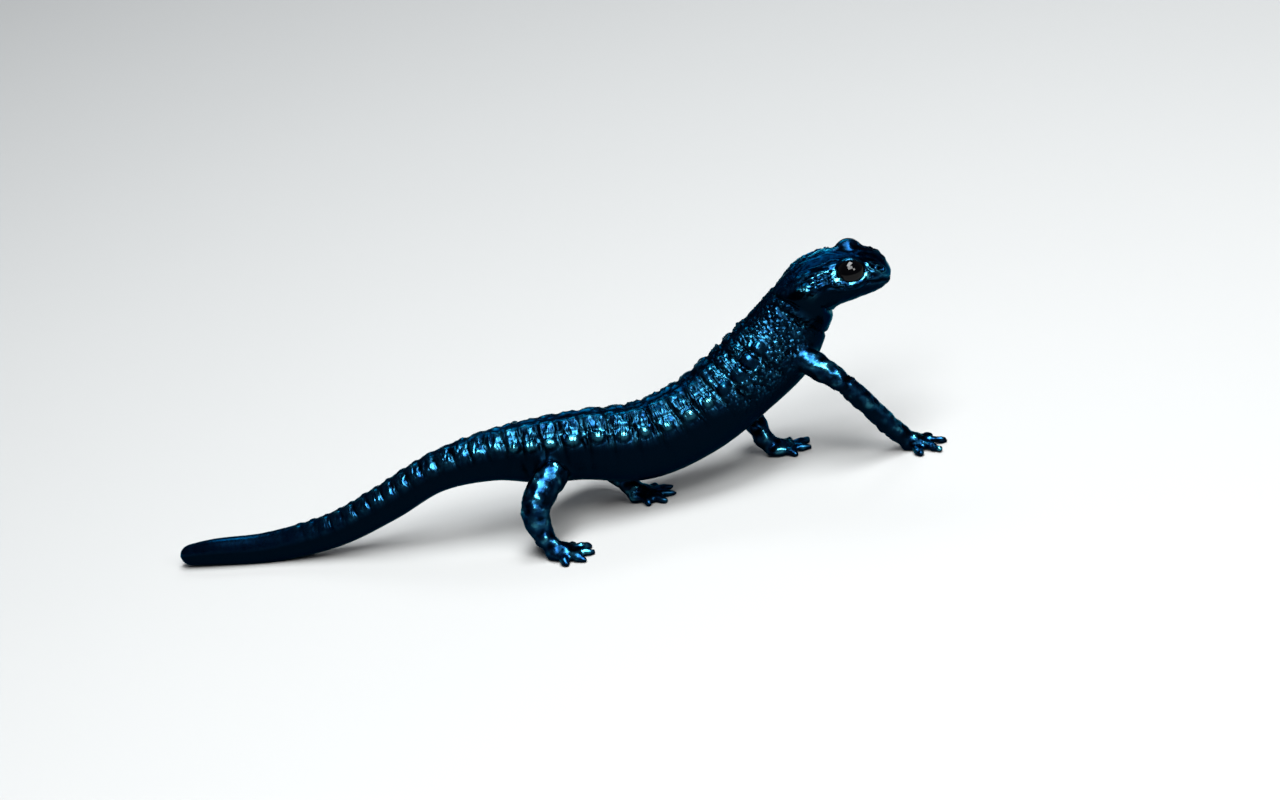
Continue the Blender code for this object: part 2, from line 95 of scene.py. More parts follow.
def curveAt(knots, table, at):
    # smooth rows at given distances, through the rows set at the knots
    at = np.clip(np.asarray(at, float), knots[0], knots[-1])
    i = np.clip(np.searchsorted(knots, at, side="right") - 1, 0, len(knots) - 2)
    before = np.maximum(i - 1, 0)
    after = np.minimum(i + 2, len(knots) - 1)
    gap = (knots[i + 1] - knots[i])[:, None]
    t = (at - knots[i])[:, None] / gap
    slopeA = (table[i + 1] - table[before]) / (knots[i + 1] - knots[before])[:, None]
    slopeB = (table[after] - table[i]) / (knots[after] - knots[i])[:, None]
    return (table[i] * (2 * t ** 3 - 3 * t ** 2 + 1) + table[i + 1] * (3 * t ** 2 - 2 * t ** 3)
            + slopeA * gap * (t ** 3 - 2 * t ** 2 + t) + slopeB * gap * (t ** 3 - t ** 2))


def runningLengths(points):
    steps = np.linalg.norm(np.diff(points, axis=0), axis=1)
    return np.concatenate(([0.0], np.cumsum(steps)))


def unit(rows):
    return rows / np.linalg.norm(rows, axis=-1, keepdims=True)


stations = np.array(body["stations"])
bodyKnots = runningLengths(stations[:, :3])
bodyLength = bodyKnots[-1]


def bodyAxes(at):
    # left, up and tailward directions of the sections at these distances
    step = body["axisStep"]
    ahead = curveAt(bodyKnots, stations[:, :3], np.minimum(at + step, bodyLength))
    behind = curveAt(bodyKnots, stations[:, :3], np.maximum(at - step, 0.0))
    tailward = unit(ahead - behind)
    level = unit(np.cross((0.0, 0.0, 1.0), -tailward))
    upright = np.cross(-tailward, level)
    lean = np.radians(body["headRoll"]) * (1.0 - ramp(at, *body["rollSpan"]))[:, None]
    left = level * np.cos(lean) + upright * np.sin(lean)
    return left, np.cross(-tailward, left), tailward


def bell(distance, size):
    return np.exp(-(distance / size) ** 2)


def within(value, low, high, soft):
    # about 1 between low and high, falling smoothly to 0 outside
    return 1.0 / (1.0 + np.exp((low - value) / soft)) / (1.0 + np.exp((value - high) / soft))


def ramp(value, low, high):
    t = np.clip((value - low) / (high - low), 0.0, 1.0)
    return t * t * (3.0 - 2.0 * t)


def endRounding(at):
    snout = np.clip(1.0 - at / body["snoutRound"], 0.0, 1.0)
    tip = np.clip(1.0 - (bodyLength - at) / body["tipRound"], 0.0, 1.0)
    return np.sqrt(1.0 - snout ** 2) * np.sqrt(1.0 - tip ** 2)


def sectionSize(row, angle):
    # sideways and upward reach of the plain section; the angle runs from the back, 0, round
    turn = np.radians(angle)
    power = 2.0 / body["sectionPower"]
    aside = np.sign(np.sin(turn)) * np.abs(np.sin(turn)) ** power * row[..., 3]
    tall = np.where(np.cos(turn) > 0, row[..., 4], row[..., 5])
    rise = np.sign(np.cos(turn)) * np.abs(np.cos(turn)) ** power * tall
    return aside, rise


def bodyRing(at):
    angle = np.arange(body["ringCount"]) * 360.0 / body["ringCount"]
    at = np.full(len(angle), float(at))
    row = curveAt(bodyKnots, stations, at)
    left, up = bodyAxes(at)[:2]
    aside, rise = sectionSize(row, angle)
    radius = np.hypot(aside, rise)
    folded = np.where(angle > 180.0, 360.0 - angle, angle)
    swelling = np.zeros(len(angle))
    for place, fromAngle, length, width, height in body["swellings"]:
        around = np.radians(folded - fromAngle) * radius
        swelling += height * bell(at - place, length) * bell(around, width)
    share = endRounding(at)
    longer = share + swelling * np.minimum(1.0, share * 1.5) / radius
    return row[:, :3] + (left * aside[:, None] + up * rise[:, None]) * longer[:, None]


# Lofts, spheres and the one skin over them

def addLoft(bm, rings):
    # a closed skin through rings of equal count
    column = bm.verts.layers.int.get("column") or bm.verts.layers.int.new("column")
    count = len(rings[0])
    circle = bmesh.ops.create_circle(bm, cap_ends=False, segments=count, radius=1.0)
    for index, vert in enumerate(circle["verts"]):
        vert[column] = index
        vert.co = rings[0][index]
    edges = list({edge for vert in circle["verts"] for edge in vert.link_edges})
    bmesh.ops.edgeloop_fill(bm, edges=edges)
    for ring in rings[1:]:
        grown = bmesh.ops.extrude_edge_only(bm, edges=edges)["geom"]
        edges = [item for item in grown if isinstance(item, bmesh.types.BMEdge)]
        for item in grown:
            if isinstance(item, bmesh.types.BMVert):
                item.co = ring[item[column]]
        edges = [edge for edge in edges if len(edge.link_faces) == 1]
    bmesh.ops.edgeloop_fill(bm, edges=edges)


def addBall(bm, middle, sizes, turn=None):
    ball = bmesh.ops.create_uvsphere(bm, u_segments=40, v_segments=24, radius=1.0)
    bmesh.ops.scale(bm, vec=sizes, verts=ball["verts"])
    if turn is not None:
        bmesh.ops.rotate(bm, matrix=turn, verts=ball["verts"])
    bmesh.ops.translate(bm, vec=middle, verts=ball["verts"])


# legs as (x, y, z, radius) from root to palm, and toes as heading and length
limbs = {
    "forelegRight": {
        "line": ((42.3, 0.4, 17.8, 2.2), (48.0, -3.3, 13.0, 1.65),
                 (54.2, -2.8, 3.3, 1.55), (56.3, -2.6, 0.9, 1.2)),
        "toes": ((30.0, 3.9), (-10.0, 5.3), (-46.0, 5.4), (-82.0, 4.2)),
    },
    "forelegLeft": {
        "line": ((38.2, 7.4, 16.2, 2.2), (34.0, 10.4, 9.0, 1.8),
                 (34.5, 6.9, 3.2, 1.55), (36.5, 6.0, 0.9, 1.2)),
        "toes": ((-46.0, 3.9), (-14.0, 5.3), (18.0, 5.4), (54.0, 4.2)),
    },
    "hindlegRight": {
        "line": ((3.2, -4.3, 10.9, 2.5), (-1.1, -8.8, 7.3, 2.3),
                 (-0.9, -10.9, 3.2, 1.6), (0.9, -12.3, 0.9, 1.25)),
        "toes": ((42.0, 3.6), (10.0, 5.0), (-18.0, 5.6), (-46.0, 5.2), (-80.0, 3.9)),
    },
    "hindlegLeft": {
        "line": ((3.2, 4.0, 11.0, 2.6), (8.8, 7.4, 6.8, 2.3),
                 (12.6, 2.7, 3.0, 1.6), (14.5, 1.1, 0.9, 1.25)),
        "toes": ((-72.0, 3.6), (-44.0, 5.0), (-16.0, 5.6), (12.0, 5.2), (46.0, 3.9)),
    },
}
foot = {
    "legSides": 24,
    "legStep": 0.5,
    "sampleStep": 0.25,     # between the points that the skin's distances are taken from
    "palm": (2.2, 1.9, 1.15),
    "palmHeight": 0.8,      # of its middle, as a share of its half thickness
    "toeRadius": 0.78,
    "toeTip": 0.54,
    "toeHeight": 0.86,      # of a toe's axis, in radii
    "toeArch": 0.35,
    "toeStart": 0.5,        # from the palm's middle
    "toeOver": 0.2,         # past the length given for each toe
    "toeRound": 0.88,       # share of the length at which the tip starts to round off
    "knuckle": 0.10,        # swelling at the knuckles, as a share of the radius
    "toeSteps": 12,
    "toeSides": 16,
    "wristShare": 0.45,     # where the tendons start, between wrist and palm
    "tendon": 0.42,         # radius of the ridges from the wrist to the toes
    "tendonTop": 0.12,      # their highest point and their end, as shares of the toe
    "tendonEnd": 0.42,
    "tendonSteps": 8,
}


def limbSamples(line, step):
    line = np.array(line)
    knots = runningLengths(line[:, :3])
    at = np.linspace(0.0, knots[-1], int(knots[-1] / step) + 1)
    return curveAt(knots, line, at), at, knots


def ringAbout(middle, first, second, radius, sides):
    # a circle in the plane of two directions
    turns = np.arange(sides) * math.tau / sides
    return middle + (np.outer(np.cos(turns), first) + np.outer(np.sin(turns), second)) * radius


def headingAxes(heading):
    # forward and across, on the floor
    turn = math.radians(heading)
    forward = np.array((math.cos(turn), math.sin(turn), 0.0))
    return forward, np.array((-math.sin(turn), math.cos(turn), 0.0))


def addLeg(bm, line):
    rows = limbSamples(line, foot["legStep"])[0]
    along = unit(np.gradient(rows[:, :3], axis=0))
    aside = unit(np.cross(along, (1.0, 0.0, 0.15)))
    ahead = np.cross(aside, along)
    rings = []
    for row, x, y in zip(rows, aside, ahead):
        rings.append(ringAbout(row[:3], x, y, row[3], foot["legSides"]))
    addLoft(bm, rings)


def addToe(bm, palm, heading, length):
    # rises to two knuckles and comes down to a blunt tip
    forward, across = headingAxes(heading)
    rings = []
    for step in range(foot["toeSteps"] + 1):
        share = step / foot["toeSteps"]
        size = foot["toeRadius"] + (foot["toeTip"] - foot["toeRadius"]) * share
        size *= 1.0 + foot["knuckle"] * math.cos(share * 3.2 * math.pi)
        arch = foot["toeArch"] * math.sin(math.pi * min(1.0, share * 1.25)) * (1.0 - share)
        height = size * foot["toeHeight"] + arch
        rounding = max(0.0, (share - foot["toeRound"]) / (1.0 - foot["toeRound"]))
        size *= math.sqrt(max(0.02, 1.0 - rounding ** 2))
        reach = foot["toeStart"] + (length + foot["toeOver"] - foot["toeStart"]) * share
        middle = np.array((palm[0], palm[1], height)) + forward * reach
        rings.append(ringAbout(middle, across, (0.0, 0.0, 1.0), size, foot["toeSides"]))
    addLoft(bm, rings)


def addTendon(bm, wrist, palm, heading, length):
    # ridge over the back of the foot, from the wrist to a toe's first knuckle
    forward, across = headingAxes(heading)
    start = np.array(wrist)
    over = np.array((palm[0], palm[1], foot["palm"][2] * 2.1)) + forward * length * foot["tendonTop"]
    end = np.array((palm[0], palm[1], foot["toeRadius"] * 1.25)) + forward * length * foot["tendonEnd"]
    rings = []
    for share in np.linspace(0.0, 1.0, foot["tendonSteps"]):
        middle = (1 - share) ** 2 * start + 2 * share * (1 - share) * over + share ** 2 * end
        slope = unit(2 * (1 - share) * (over - start) + 2 * share * (end - over))
        above = np.cross(slope, across)
        rings.append(ringAbout(middle, across, above, foot["tendon"], foot["toeSides"]))
    addLoft(bm, rings)


def addFoot(bm, wrist, palm, toes):
    heading = math.radians(sum(toe[0] for toe in toes) / len(toes))
    middle = Vector((palm[0], palm[1], foot["palm"][2] * foot["palmHeight"]))
    addBall(bm, middle, foot["palm"], Matrix.Rotation(heading, 3, "Z"))
    for turn, length in toes:
        addToe(bm, palm, turn, length)
        addTendon(bm, wrist, palm, turn, length)


eye = {
    "at": 6.1,             # distance of the eye from the lip
    "angle": 55.0,         # down from the top of the head
    "reach": 3.35,         # from the body's line to the middle of the ball
    "radius": 2.2,
    "lidDome": 2.36,
    "halfLength": 2.12,    # opening between the lids
    "halfHeight": 1.66,
    "edge": 0.06,          # the lid's edge above the ball
    "upperRoll": 0.14,     # the lids' thickest part above the ball
    "lowerRoll": 0.74,
    "upperWidth": 0.22,
    "lowerWidth": 0.80,
    "crease": 0.10,        # depth of the fold under the lower lid
    "blend": 0.9,          # beyond the lids, down to the head
    "snap": 0.075,         # points this near the opening's edge move onto it
    "socket": 0.35,        # depth of the skin under the ball
    "segments": 64,
    "rings": 40,
}


def eyeFrame(side):
    at = np.array([eye["at"]])
    left, up, tailward = (rows[0] for rows in bodyAxes(at))
    turn = math.radians(eye["angle"])
    outward = left * math.sin(turn) * side + up * math.cos(turn)
    middle = curveAt(bodyKnots, stations[:, :3], at)[0] + outward * eye["reach"]
    back = unit(tailward - outward * tailward.dot(outward))
    above = np.cross(outward, back) * side
    if above[2] < 0:
        above = -above
    return middle, outward, back, above


skinShape = {
    "voxel": 0.288,
    "evenPasses": 4,
    "rootPasses": 24,
    # how far a root reaches from the body's surface, from the leg's, and down the leg
    "rootReach": (1.5, 1.3, 1.4),
    "headEnd": 13.0,       # the head's faces are split once more, up to here
    "headPasses": 2,
}


def meshFrom(bm, name):
    mesh = bpy.data.meshes.new(name)
    bm.to_mesh(mesh)
    bm.free()
    return mesh


def newObject(name, mesh):
    made = bpy.data.objects.new(name, mesh)
    bpy.context.scene.collection.objects.link(made)
    return made


def roughForm():
    bm = bmesh.new()
    snoutTurns = np.linspace(body["endRing"], 1.0, body["snoutRings"]) * math.pi / 2
    tipTurns = np.linspace(1.0, body["endRing"], body["tipRings"]) * math.pi / 2
    snout = body["snoutRound"] * (1.0 - np.cos(snoutTurns))
    tail = bodyLength - body["tipRound"] * (1.0 - np.cos(tipTurns))
    trunk = np.arange(snout[-1] + body["ringStep"], tail[0], body["ringStep"])
    addLoft(bm, [bodyRing(at) for at in np.concatenate((snout, trunk, tail))])
    for side in (1, -1):
        addBall(bm, eyeFrame(side)[0], (eye["lidDome"],) * 3)
    for limb in limbs.values():
        addLeg(bm, limb["line"])
        share = foot["wristShare"]
        ends = zip(limb["line"][2][:3], limb["line"][3][:3])
        wrist = [(1.0 - share) * a + share * b for a, b in ends]
        addFoot(bm, wrist, limb["line"][3], limb["toes"])
    bmesh.ops.recalc_face_normals(bm, faces=bm.faces)
    return meshFrom(bm, "roughForm")


def oneSkin(mesh):
    # the overlapping forms become one closed surface of even quads
    rough = newObject("roughForm", mesh)
    remesh = rough.modifiers.new("remesh", "REMESH")
    remesh.mode = "VOXEL"
    remesh.voxel_size = skinShape["voxel"]
    remesh.adaptivity = 0.0
    depsgraph = bpy.context.evaluated_depsgraph_get()
    made = bpy.data.meshes.new_from_object(rough.evaluated_get(depsgraph))
    bpy.data.objects.remove(rough, do_unlink=True)
    return made


def vectorsOf(items, name):
    found = np.zeros(len(items) * 3, np.float32)
    items.foreach_get(name, found)
    return found.reshape(-1, 3).astype(float)


def setPositions(mesh, points):
    mesh.vertices.foreach_set("co", points.astype(np.float32).ravel())
    mesh.update()


def nearestSamples(points, samples):
    tree = KDTree(len(samples))
    for index, sample in enumerate(samples):
        tree.insert(sample, index)
    tree.balance()
    return np.array([tree.find(point)[1] for point in points])


spineAt = np.arange(0.0, bodyLength, body["sampleStep"])
spineRows = curveAt(bodyKnots, stations, spineAt)


def bodyCoordinates(points):
    # where each point lies on the body: distance from the lip, angle from the back and more
    near = nearestSamples(points, spineRows[:, :3])
    tailward = bodyAxes(spineAt)[2]
    slide = np.einsum("ij,ij->i", points - spineRows[near, :3], tailward[near])
    at = np.clip(spineAt[near] + slide, 0.0, bodyLength)
    row = curveAt(bodyKnots, stations, at)
    left, up = bodyAxes(at)[:2]
    away = points - row[:, :3]
    aside = np.einsum("ij,ij->i", away, left)
    rise = np.einsum("ij,ij->i", away, up)
    tall = np.where(rise > 0, row[:, 4], row[:, 5])
    power = body["sectionPower"] / 2.0
    angle = np.degrees(np.arctan2((np.abs(aside) / row[:, 3]) ** power,
                                  np.sign(rise) * (np.abs(rise) / tall) ** power))
    plainAside, plainRise = sectionSize(row, angle)
    radius = np.hypot(plainAside, plainRise)
    share = np.maximum(endRounding(at), 0.2)
    out = np.hypot(aside, rise) - radius * share
    return {"at": at, "angle": angle, "side": np.sign(aside), "rise": rise, "radius": radius, "out": out}


def limbCoordinates(points):
    # how far each point stands off the nearest leg's surface, and where along that leg
    rows = []
    places = []
    for limb in limbs.values():
        sampled, at, knots = limbSamples(limb["line"], foot["sampleStep"])
        rows.append(sampled)
        places.append(np.interp(at, knots, range(len(knots))))
    rows = np.concatenate(rows)
    places = np.concatenate(places)
    near = nearestSamples(points, rows[:, :3])
    off = np.linalg.norm(points - rows[near, :3], axis=1) - rows[near, 3]
    return off, places[near]


def evenOut(bm, verts, passes):
    for _ in range(passes):
        bmesh.ops.smooth_vert(bm, verts=verts, factor=0.5,
                              use_axis_x=True, use_axis_y=True, use_axis_z=True)


def smoothSkin(mesh):
    # evens out the remesh, rounds the roots of the legs and splits the head's faces
    bm = bmesh.new()
    bm.from_mesh(mesh)
    evenOut(bm, bm.verts, skinShape["evenPasses"])
    points = np.array([vert.co for vert in bm.verts])
    spine = bodyCoordinates(points)
    off, place = limbCoordinates(points)
    offBody, offLeg, downLeg = skinShape["rootReach"]
    joined = (np.abs(spine["out"]) < offBody) & (np.abs(off) < offLeg) & (place < downLeg)
    inHead = spine["at"] < skinShape["headEnd"]
    bm.verts.ensure_lookup_table()
    roots = [bm.verts[i] for i in np.flatnonzero(joined)]
    evenOut(bm, roots, skinShape["rootPasses"])
    edges = [edge for edge in bm.edges if all(inHead[vert.index] for vert in edge.verts)]
    split = bmesh.ops.subdivide_edges(bm, edges=edges, cuts=1, use_grid_fill=True)
    fresh = {item for item in split["geom"] if isinstance(item, bmesh.types.BMVert)}
    fresh |= {vert for edge in edges if edge.is_valid for vert in edge.verts}
    evenOut(bm, list(fresh), skinShape["headPasses"])
    bm.to_mesh(mesh)
    bm.free()


# Relief of the skin: ribs, warts, rings, glands, creases, grains
# places are distances from the lip in millimetres, and angles run from the back down

relief = {
    "seed": 7,
    "jitter": 0.15,            # how far a wart or a groove strays from its place
    "waviness": 0.30,          # of the grooves between the ribs
    "wartFirst": 24.2,
    "wartCount": 14,
    "wartPitch": 2.55,
    "wartPitchMid": 1.28,
    "wartAngle": 58.0,
    "wartSize": 0.96,
    "wartTall": 0.9,           # a wart's extent round the body, for 1 along it
    "wartHeight": 0.74,
    "frontWarts": (1.1, 1.45, 1.2, 1.12),   # the first warts are larger
    "moat": (1.34, 0.24, 0.20),             # place in wart sizes, width and depth
    "rim": (1.62, 0.15, 0.75),              # place, width and height, on the larger warts only
    "domeReach": 1.55,
    "grooveSize": 0.46,
    "grooveDepth": 0.46,
    "grooveBelow": 0.25,       # share of a groove's depth that is left low on the flank
    "valley": (42.0, 0.32, 0.20),           # above the warts: angle, size and depth
    "crestSize": (1.15, 4.2, 1.0),
    "crestHeight": 0.15,
    "ribUneven": 0.09,
    "backUneven": 0.14,
    "beadSize": 0.66,
    "beadHeight": 0.26,
    "smallWartGap": 0.8,       # along the back, before and after each large wart
    "smallWartAngles": (11.0, 17.0),
    "smallWartSizes": (0.42, 0.58),
    "smallWartHeight": 0.16,
    "midline": (0.55, 0.10),   # size and depth of the groove down the back
}
tailRings = {
    "count": 15,
    "pitch": 2.5,
    "fade": 0.8,               # share of the height that the last ring has lost
    "wartAngle": 54.0,
    "wartSizes": (0.68, 0.85),
    "wartHeight": 0.30,
    "grooveSize": 0.36,
    "grooveDepth": 0.26,
}
face = {
    # folds under the jaw and round the neck: distance, first angle, size and depth
    "folds": ((12.5, 108.0, 0.50, 0.60), (17.0, 46.0, 0.42, 0.45)),
    "jowlAt": 13.3,            # smooth swelling behind the jaw
    "jowlHeight": 0.34,
    "jowlFoldAt": 15.7,
    "jowlFoldDepth": 0.30,
    # height of the mouth's line above the middle of the side, by distance
    "mouthAt": (0.0, 1.4, 3.8, 6.1, 8.0, 9.4),
    "mouthRise": (0.0, 0.80, 0.85, 0.75, 0.90, 1.35),
    "mouthEnd": 9.3,
    "mouthSize": 0.15,
    "mouthDepth": 0.30,
    "upperLip": (0.55, 0.30, 0.10),         # distance from the mouth's line, size and height
    "lowerLip": (-0.50, 0.32, 0.14),
    "nostrilAt": 1.8,
    "nostrilAngle": 38.0,
    "nostrilSize": 0.36,
    "nostrilDepth": 0.55,
    "nostrilRim": (0.62, 0.20, 0.18),       # distance from the nostril, size and height
    "glandAt": 11.2,
    "glandAngle": 52.0,
    "poreSize": 0.95,
    "poreDepth": 0.22,
    "browHeight": 0.15,        # ridge that runs back from the eye
    "creaseAt": 9.1,           # short crease between eye and gland
    "creaseDepth": 0.28,
    "ridgeSize": (2.4, 0.8, 1.0),
    "ridgeHeight": 0.25,
    "uneven": 0.05,
}
legSkin = {
    "grainSize": 0.8,
    "grainHeight": 0.07,
    "unevenSize": 1.25,
    "uneven": 0.24,
    # creases: place along the leg, with the elbow or knee at 1 and the wrist at 2, and depth
    "creases": ((0.94, 0.06), (1.0, 0.10), (1.07, 0.08), (1.9, 0.06), (1.97, 0.07)),
    "creaseSize": 0.022,
}


def wartPlaces():
    places = [relief["wartFirst"]]
    for i in range(relief["wartCount"] - 1):
        share = (i + 0.5) / (relief["wartCount"] - 1)
        places.append(places[-1] + relief["wartPitch"]
                      + relief["wartPitchMid"] * math.sin(math.pi * share) ** 1.5)
    return np.array(places)


def noiseAt(points, size, offset):
    scale = 1.0 / np.broadcast_to(size, (3,))
    moved = points * scale + offset
    return np.array([noise.noise(point) for point in moved])


def crestsAt(points, size, offset):
    # narrow winding crests
    return np.clip(1.0 - 3.4 * np.abs(noiseAt(points, size, offset)), 0.0, 1.0) ** 1.4


def grainsAt(points, size, offset):
    # rounded grains set close: high in their middles, low between them
    moved = points / size + offset
    found = np.array([noise.voronoi(point)[0][:2] for point in moved])
    return np.clip((found[:, 1] - found[:, 0]) * 1.6, 0.0, 1.0) ** 0.6


def skinZones(spine):
    # how much of each kind of skin a point has
    at, angle = spine["at"], spine["angle"]
    upper = 36.0 + 14.0 * np.clip(13.4 - at, 0.0, 3.0)
    collar = within(at, 11.4, 15.6, 0.3) * ramp(angle, upper - 8.0, upper + 8.0)
    return {
        "collar": collar,
        "beads": within(at, 14.6, 34.0, 1.1) * within(angle, 8.0, 116.0, 8.0) * (1.0 - collar),
        "ribs": within(at, 21.0, 102.0, 1.5) * within(angle, 17.0, 72.0, 6.0),
        "top": within(at, 15.0, 112.0, 2.0) * within(angle, -30.0, 24.0, 6.0),
        "head": within(at, -2.0, 13.2, 0.6),
    }


def roundFrom(spine, angle):
    # distance round the body from a line at this angle
    return np.radians(spine["angle"] - angle) * spine["radius"]


def ribGrooves(spine, rng, warts, wavy):
    angle, side = spine["angle"], spine["side"]
    rise = np.zeros(len(angle))
    for low, high in zip(warts, warts[1:]):
        for hand in (1, -1):
            groove = (low + high) / 2 + rng.uniform(-relief["jitter"], relief["jitter"])
            depth = relief["grooveDepth"] * rng.uniform(0.8, 1.15)
            reach = within(angle, 18.0, 86.0 + rng.uniform(-8, 8), 7.0)
            reach = reach + relief["grooveBelow"] * within(angle, 90.0, 125.0, 10.0)
            cut = depth * bell(wavy - groove, relief["grooveSize"]) * reach
            rise -= np.where(side == hand, cut, 0)
    return rise


def flankWarts(spine, rng, warts):
    # heights of the warts, and where the domes of the larger ones are
    at, side = spine["at"], spine["side"]
    rise = np.zeros(len(at))
    domes = np.zeros(len(at))
    moatAt, moatWidth, moatDepth = relief["moat"]
    rimAt, rimWidth, rimHeight = relief["rim"]
    for index, place in enumerate(warts):
        larger = relief["frontWarts"][index] if index < len(relief["frontWarts"]) else 1.0
        for hand in (1, -1):
            size = relief["wartSize"] * larger * rng.uniform(0.9, 1.1)
            middle = place + rng.uniform(-relief["jitter"], relief["jitter"])
            around = roundFrom(spine, relief["wartAngle"] + rng.uniform(-3.0, 3.0))
            far = np.hypot(at - middle, around / relief["wartTall"]) / size
            wart = relief["wartHeight"] * math.sqrt(larger) * np.exp(-far ** 2.5)
            moat = -moatDepth * bell(far - moatAt, moatWidth)
            rim = rimHeight * bell(far - rimAt, rimWidth) * (larger - 0.95)
            rise += np.where(side == hand, wart + moat + rim, 0.0)
            dome = (larger > 1.0) * np.exp(-(far / relief["domeReach"]) ** 6)
            domes = np.maximum(domes, np.where(side == hand, dome, 0))
    return rise, domes


def backWarts(spine, rng, places):
    # a double row of small warts beside the groove down the back
    at, side = spine["at"], spine["side"]
    rise = np.zeros(len(at))
    for place in places:
        for hand in (1, -1):
            around = roundFrom(spine, rng.uniform(*relief["smallWartAngles"]))
            far = np.hypot(at - place - rng.uniform(-0.2, 0.2), around)
            wart = relief["smallWartHeight"] * bell(far, rng.uniform(*relief["smallWartSizes"]))
            rise += np.where(side == hand, wart, 0.0)
    size, depth = relief["midline"]
    return rise - depth * bell(roundFrom(spine, 0.0), size) * within(at, 19.0, 64.0, 1.5)


def ringsOfTail(spine, rng, places, wavy):
    at, side = spine["at"], spine["side"]
    rise = np.zeros(len(at))
    for index, place in enumerate(places):
        fade = 1.0 - tailRings["fade"] * index / tailRings["count"]
        for hand in (1, -1):
            around = roundFrom(spine, tailRings["wartAngle"] + rng.uniform(-4.0, 4.0))
            far = np.hypot(at - place - rng.uniform(-0.2, 0.2), around)
            far = far / rng.uniform(*tailRings["wartSizes"])
            wart = tailRings["wartHeight"] * np.exp(-far ** 2.6)
            groove = bell(wavy - place + tailRings["pitch"] / 2, tailRings["grooveSize"])
            groove = tailRings["grooveDepth"] * groove * within(spine["angle"], 14.0, 100.0, 8.0)
            rise += np.where(side == hand, fade * (wart - groove), 0.0)
    return rise


def fineRelief(spine, zones, sheet):
    # narrow crests across the ribs, rows along the back, beads, the valley above the warts
    at = spine["at"]
    fade = 1.0 - 0.7 * ramp(at, 66.0, 102.0)
    crests = relief["crestHeight"] * (crestsAt(sheet, relief["crestSize"], 11.3) - 0.35)
    uneven = relief["ribUneven"] * noiseAt(sheet, (0.6, 1.3, 1.0), 2.9)
    rise = zones["ribs"] * fade * (crests + uneven)
    rise += relief["backUneven"] * zones["top"] * fade * noiseAt(sheet, (1.0, 0.6, 1.0), 5.7)
    beads = grainsAt(sheet, relief["beadSize"], 0.0)
    rise += relief["beadHeight"] * zones["beads"] * (beads - 0.55)
    angle, size, depth = relief["valley"]
    return rise - depth * bell(roundFrom(spine, angle), size) * within(at, 26.0, 66.0, 1.0)


def jowlAndFolds(spine):
    at, angle = spine["at"], spine["angle"]
    jowl = bell(at - face["jowlAt"], 1.7) * ramp(angle, 30.0, 50.0)
    rise = face["jowlHeight"] * jowl * (1.0 - ramp(angle, 96.0, 124.0))
    fold = bell(at - face["jowlFoldAt"] + 0.02 * (angle - 40.0), 0.34)
    rise -= face["jowlFoldDepth"] * fold * within(angle, 12.0, 84.0, 6.0)
    for place, firstAngle, size, depth in face["folds"]:
        rise -= depth * bell(at - place, size) * within(angle, firstAngle, 400.0, 8.0)
    return rise


def mouthAndNostrils(spine):
    at = spine["at"]
    mouth = within(at, -1.0, face["mouthEnd"], 0.25)
    line = spine["rise"] - np.interp(at, face["mouthAt"], face["mouthRise"])
    rise = -face["mouthDepth"] * mouth * bell(line, face["mouthSize"])
    for away, size, height in (face["upperLip"], face["lowerLip"]):
        rise += mouth * height * bell(line - away, size)
    around = roundFrom(spine, face["nostrilAngle"]) * endRounding(face["nostrilAt"])
    far = np.hypot(at - face["nostrilAt"], around)
    away, size, height = face["nostrilRim"]
    return rise + height * bell(far - away, size) - face["nostrilDepth"] * bell(far, face["nostrilSize"])


def crownAndGlands(points, spine, zones, sheet):
    # pores of the glands, the ridge and crease behind each eye, and the crown's ridges
    at, angle = spine["at"], spine["angle"]
    onGland = bell(at - face["glandAt"], 2.4) * bell(roundFrom(spine, face["glandAngle"]), 1.4)
    rise = -face["poreDepth"] * onGland * (1.0 - grainsAt(points, face["poreSize"], 4.4)) ** 1.4
    behindEye = roundFrom(spine, 27.0 + 3.4 * (at - 7.8))
    rise += face["browHeight"] * bell(behindEye, 0.60) * within(at, 9.0, 11.4, 0.8)
    rise -= face["creaseDepth"] * bell(at - face["creaseAt"], 0.22) * within(angle, 46.0, 66.0, 4.0)
    ridges = crestsAt(sheet, face["ridgeSize"], 7.7) * within(angle, 12.0, 74.0, 6.0)
    rise += face["ridgeHeight"] * zones["head"] * (ridges - 0.3) * ramp(at, 0.8, 3.0)
    return rise + face["uneven"] * zones["head"] * noiseAt(points, 0.8, 8.8)


def legRelief(points, limbPlace):
    # shallow grains, swellings and the creases at the joints
    rise = legSkin["grainHeight"] * (grainsAt(points, legSkin["grainSize"], 9.1) - 0.5)
    rise += legSkin["uneven"] * noiseAt(points, legSkin["unevenSize"], 6.0)
    place = limbPlace + 0.02 * noiseAt(points, 1.5, 1.0)
    for joint, depth in legSkin["creases"]:
        rise -= depth * bell(place - joint, legSkin["creaseSize"])
    return rise


